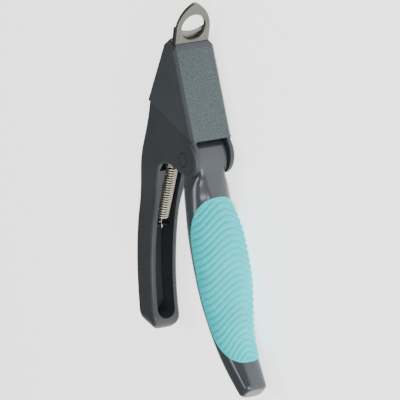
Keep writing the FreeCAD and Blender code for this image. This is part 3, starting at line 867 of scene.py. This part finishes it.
@dataclass
class ReturnSpring:
    """The tension spring: close coils between two legs, each ending in an eye round its pin."""

    hook: tuple[float, float] = (-17.6, -7.4)
    anchor: tuple[float, float] = (-21.4, -35.2)
    hook_pin: float = 0.6
    anchor_pin: float = 0.7
    coil_top: float = -11.2
    coil_foot: float = -32.0
    radius: float = 2.05
    wire: float = 0.25
    turns: float = 22.0
    sides: int = 10

    def build(self) -> bpy.types.Object:
        """Sweeps a round wire along the spring's centre line.

        Returns:
            The spring, which stretches between the frame and the blade's slide.
        """
        pivot = joint_place("lever_joint") / MM
        top = np.array([*self.hook, 0.0]) + pivot
        foot = np.array([*self.anchor, 0.0]) + pivot
        axis = (foot - top) / np.linalg.norm(foot - top)
        side = np.array([0.0, 0.0, 1.0])
        front = np.cross(side, axis)
        head = top + axis * (self.hook[1] - self.coil_top) / -axis[1]
        tail = top + axis * (self.hook[1] - self.coil_foot) / -axis[1]

        turn = np.linspace(0, 2 * math.pi * self.turns, int(self.turns * 28))
        share = turn / turn[-1]
        soft = np.minimum(np.minimum(share, 1 - share) * self.turns * 2, 1)
        radius = self.radius * np.sin(soft * math.pi / 2) ** 0.7
        coil = (
            head + (tail - head) * share[:, None]
            + radius[:, None] * (np.cos(turn)[:, None] * front + np.sin(turn)[:, None] * side)
        )
        upper = self.eye(top, self.hook_pin, axis, front, head)
        lower = self.eye(foot, self.anchor_pin, -axis, front, tail)
        line = np.vstack([upper, coil, lower[::-1]])
        item = mesh_object("return_spring_wound", *self.sweep(line * MM))
        item.data.materials.append(WIRE.material())
        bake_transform(item)
        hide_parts("return_spring")
        return item

    def eye(self, pin: np.ndarray, pin_radius: float, towards: np.ndarray, front: np.ndarray,
            coil_end: np.ndarray) -> np.ndarray:
        """Lays the wire round a pin and up its leg.

        Args:
            pin: the pin's centre.
            pin_radius: the pin's radius.
            towards: unit vector from the pin to the coils.
            front: unit vector across it.
            coil_end: where the coils start.

        Returns:
            Points from the eye's free end to just before the coils.
        """
        radius = pin_radius + self.wire + 0.05
        angle = np.linspace(math.radians(330), 0, 30)
        loop = pin + radius * (np.cos(angle)[:, None] * towards + np.sin(angle)[:, None] * front)
        start = pin + radius * towards
        leg = start + (coil_end - start) * np.linspace(0.15, 0.92, 8)[:, None]
        return np.vstack([loop, leg])

    def sweep(self, line: np.ndarray) -> tuple[np.ndarray, np.ndarray, np.ndarray]:
        """Sweeps a circle along a line.

        Args:
            line: points in metres.

        Returns:
            Points, quads and the end caps' triangles. The circle's first axis starts square to the
            line and is carried along it without twist.
        """
        direction = np.gradient(line, axis=0)
        direction /= np.linalg.norm(direction, axis=1)[:, None]
        first = np.zeros_like(direction)
        carry = np.cross(direction[0], [0.0, 0.0, 1.0])
        for at, ahead in enumerate(direction):
            carry = carry - ahead * (carry @ ahead)
            carry /= np.linalg.norm(carry)
            first[at] = carry
        second = np.cross(direction, first)
        angle = np.linspace(0, 2 * math.pi, self.sides, endpoint=False)
        ring = np.cos(angle)[None, :, None] * first[:, None] + np.sin(angle)[None, :, None] * second[:, None]
        points = line[:, None] + self.wire * MM * ring
        rows = len(line)
        ends = np.stack([line[0], line[-1]])
        start = np.arange(self.sides)
        last = start + (rows - 1) * self.sides
        total = rows * self.sides
        caps = np.vstack([
            np.stack([np.full(self.sides, total), np.roll(start, -1), start], axis=-1),
            np.stack([np.full(self.sides, total + 1), last, np.roll(last, -1)], axis=-1),
        ])
        return np.vstack([points.reshape(-1, 3), ends]), grid_faces(rows, self.sides), caps


# ---------------------------------------------------------------- head cover


@dataclass
class HeadCover:
    """The wedge cap with softly rounded edges and a spark-textured front face, whose lighter speckle is
    painted glints.
    """

    edge_round: float = 0.28
    steps: int = 3
    crease_deg: float = 24.0
    flat_deg: float = 0.6
    shortest: float = 0.6

    def build(self) -> bpy.types.Object:
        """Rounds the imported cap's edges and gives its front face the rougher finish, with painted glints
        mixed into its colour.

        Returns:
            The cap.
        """
        shape = bmesh.new()
        shape.from_mesh(frame["nodes"]["head_cover"].data)
        bmesh.ops.remove_doubles(shape, verts=shape.verts, dist=1e-6)
        flat = math.radians(self.flat_deg)
        bmesh.ops.dissolve_limit(shape, angle_limit=flat, verts=shape.verts, edges=shape.edges)
        crease = math.radians(self.crease_deg)
        shared = [edge for edge in shape.edges if len(edge.link_faces) == 2]
        creased = [edge for edge in shared
                   if edge.calc_face_angle() > crease and edge.calc_length() > self.shortest * MM]
        bmesh.ops.bevel(shape, geom=creased, offset=self.edge_round * MM, offset_type="OFFSET",
                        segments=self.steps, profile=0.5, affect="EDGES", clamp_overlap=True)
        mesh = bpy.data.meshes.new("head_cover_cap")
        shape.to_mesh(mesh)
        shape.free()
        mesh.polygons.foreach_set("use_smooth", np.ones(len(mesh.polygons), dtype=bool))
        mesh.set_sharp_from_angle(angle=math.radians(30))
        item = bpy.data.objects.new("head_cover_cap", mesh)
        bpy.context.scene.collection.objects.link(item)
        finish_piece(item, COVER_SIDE, "frame", ("head_cover",))
        # the front face gets the spark finish: a real bump, with painted glints as lighter speckle in its
        # colour
        mesh.materials.append(COVER.material())
        normals = np.zeros(len(mesh.polygons) * 3)
        mesh.polygons.foreach_get("normal", normals)
        facing = normals.reshape(-1, 3) @ FRONT_NORMAL > 0.995
        mesh.polygons.foreach_set("material_index", facing.astype(np.int32))
        return item


# ---------------------------------------------------------------- stage


@dataclass(frozen=True)
class Lamp:
    """One soft box: where it stands from the object's middle, its power and its size."""

    name: str
    towards: np.ndarray
    watts: float
    size: tuple[float, float]


@dataclass
class Studio:
    """Floor, soft lights and the camera, placed from the object's box."""

    lean_deg: float = 30.0
    turn: tuple[float, float] = (0.87, 0.49)
    roll_deg: float = 9.5
    view_width_mm: float = 131.1475
    aim: tuple[float, float, float] = (3.14, -14.19, 7.7)
    distance: float = 2.5
    sky: float = 0.3
    floor_glow: float = 1.7

    def axes(self) -> tuple[np.ndarray, np.ndarray, np.ndarray]:
        """Works out the camera's right, up and back directions.

        Returns:
            Three unit vectors: the back direction points from the object to the camera.
        """
        lean = math.radians(self.lean_deg)
        front = np.array([math.cos(lean), math.sin(lean), 0.0])
        upright = np.array([-math.sin(lean), math.cos(lean), 0.0])
        across = np.array([0.0, 0.0, -1.0])
        wide, deep = self.turn
        aside = wide * across + deep * front
        back = wide * front - deep * across
        roll = math.radians(self.roll_deg)
        right = math.cos(roll) * aside - math.sin(roll) * upright
        up = math.sin(roll) * aside + math.cos(roll) * upright
        return tuple(vector / np.linalg.norm(vector) for vector in (right, up, back))

    def build(self) -> None:
        """Makes the camera, the floor, the lights and the world."""
        right, up, back = self.axes()
        over, rise, out = self.aim
        face = joint_place("lever_joint") + np.array([0.0, 0.0, out * MM])
        lean = math.radians(self.lean_deg)
        wide, deep = self.turn
        aside = np.array([deep * math.cos(lean), deep * math.sin(lean), -wide])
        upright = np.array([-math.sin(lean), math.cos(lean), 0.0])
        middle = face + (over * aside + rise * upright) * MM
        camera_data = bpy.data.cameras.new("camera")
        camera = bpy.data.objects.new("camera", camera_data)
        bpy.context.scene.collection.objects.link(camera)
        camera_data.sensor_width = 36.0
        camera_data.lens = camera_data.sensor_width * self.distance / (self.view_width_mm * MM)
        camera_data.clip_start = 0.01
        camera_data.clip_end = 20.0
        matrix = Matrix([[right[k], up[k], back[k], 0] for k in range(3)] + [[0, 0, 0, 1]])
        matrix.translation = Vector(middle + back * self.distance)
        camera.matrix_world = matrix
        bpy.context.scene.camera = camera
        low = CAD_BOX[0][2]
        mesh = bpy.data.meshes.new("floor")
        size = 6.0
        corners = [(-size, -size, low), (size, -size, low), (size, size, low), (-size, size, low)]
        mesh.from_pydata(corners, [], [(0, 1, 2, 3)])
        floor = bpy.data.objects.new("floor", mesh)
        bpy.context.scene.collection.objects.link(floor)
        paper = bpy.data.materials.new("pale_paper")
        paper.use_nodes = True
        sheet = paper.node_tree.nodes["Principled BSDF"].inputs
        sheet["Base Color"].default_value = linear("#f4f4f4")
        sheet["Roughness"].default_value = 0.9
        sheet["Emission Color"].default_value = (1, 1, 1, 1)
        sheet["Emission Strength"].default_value = self.floor_glow
        mesh.materials.append(paper)
        world = bpy.data.worlds.new("studio")
        bpy.context.scene.world = world
        world.use_nodes = True
        sky = world.node_tree.nodes["Background"].inputs
        sky["Color"].default_value = (1, 1, 1, 1)
        sky["Strength"].default_value = self.sky
        for lamp in self.lamps(right, back):
            data = bpy.data.lights.new(lamp.name, "AREA")
            data.shape = "RECTANGLE"
            data.energy = lamp.watts
            data.size, data.size_y = lamp.size
            light = bpy.data.objects.new(lamp.name, data)
            bpy.context.scene.collection.objects.link(light)
            light.location = Vector(middle + lamp.towards)
            light.rotation_euler = Vector(-lamp.towards).to_track_quat("-Z", "Y").to_euler()
            light.visible_camera = False

    def lamps(self, right: np.ndarray, back: np.ndarray) -> list[Lamp]:
        """Lists the soft boxes: a low front key, two strips that reflect down the lever, and an edge light.

        Args:
            right: the camera's right.
            back: from the object to the camera.

        Returns:
            The lamps.
        """
        low_front = np.array([0.93, -0.15, 0.34])
        high_front = np.array([0.76, 0.55, 0.26])
        left, near = math.radians(-68), math.radians(-11)
        return [
            Lamp("key", low_front * 0.62, 3.4, (0.34, 0.34)),
            Lamp("left_strip", 0.8 * (math.cos(left) * back + math.sin(left) * right), 2.4, (0.12, 0.5)),
            Lamp("near_strip", 0.95 * (math.cos(near) * back + math.sin(near) * right), 2.6, (0.09, 0.5)),
            Lamp("edge_light", 0.8 * high_front, 0.7, (0.08, 0.08)),
        ]


def main() -> None:
    """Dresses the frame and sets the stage."""
    logging.basicConfig(level=logging.INFO, format="%(name)s: %(message)s")
    Studio().build()
    dress_frame()
    form = LeverForm()
    leaf = GripLeaf(form)
    for piece in (
        HeadCover(), RingPlate(), LeverShell(form, leaf), LeverBarrel(), DriveArm(),
        GripSleeve(form, leaf), ReturnSpring(),
    ):
        piece.build()


if __name__ == "__main__":
    main()
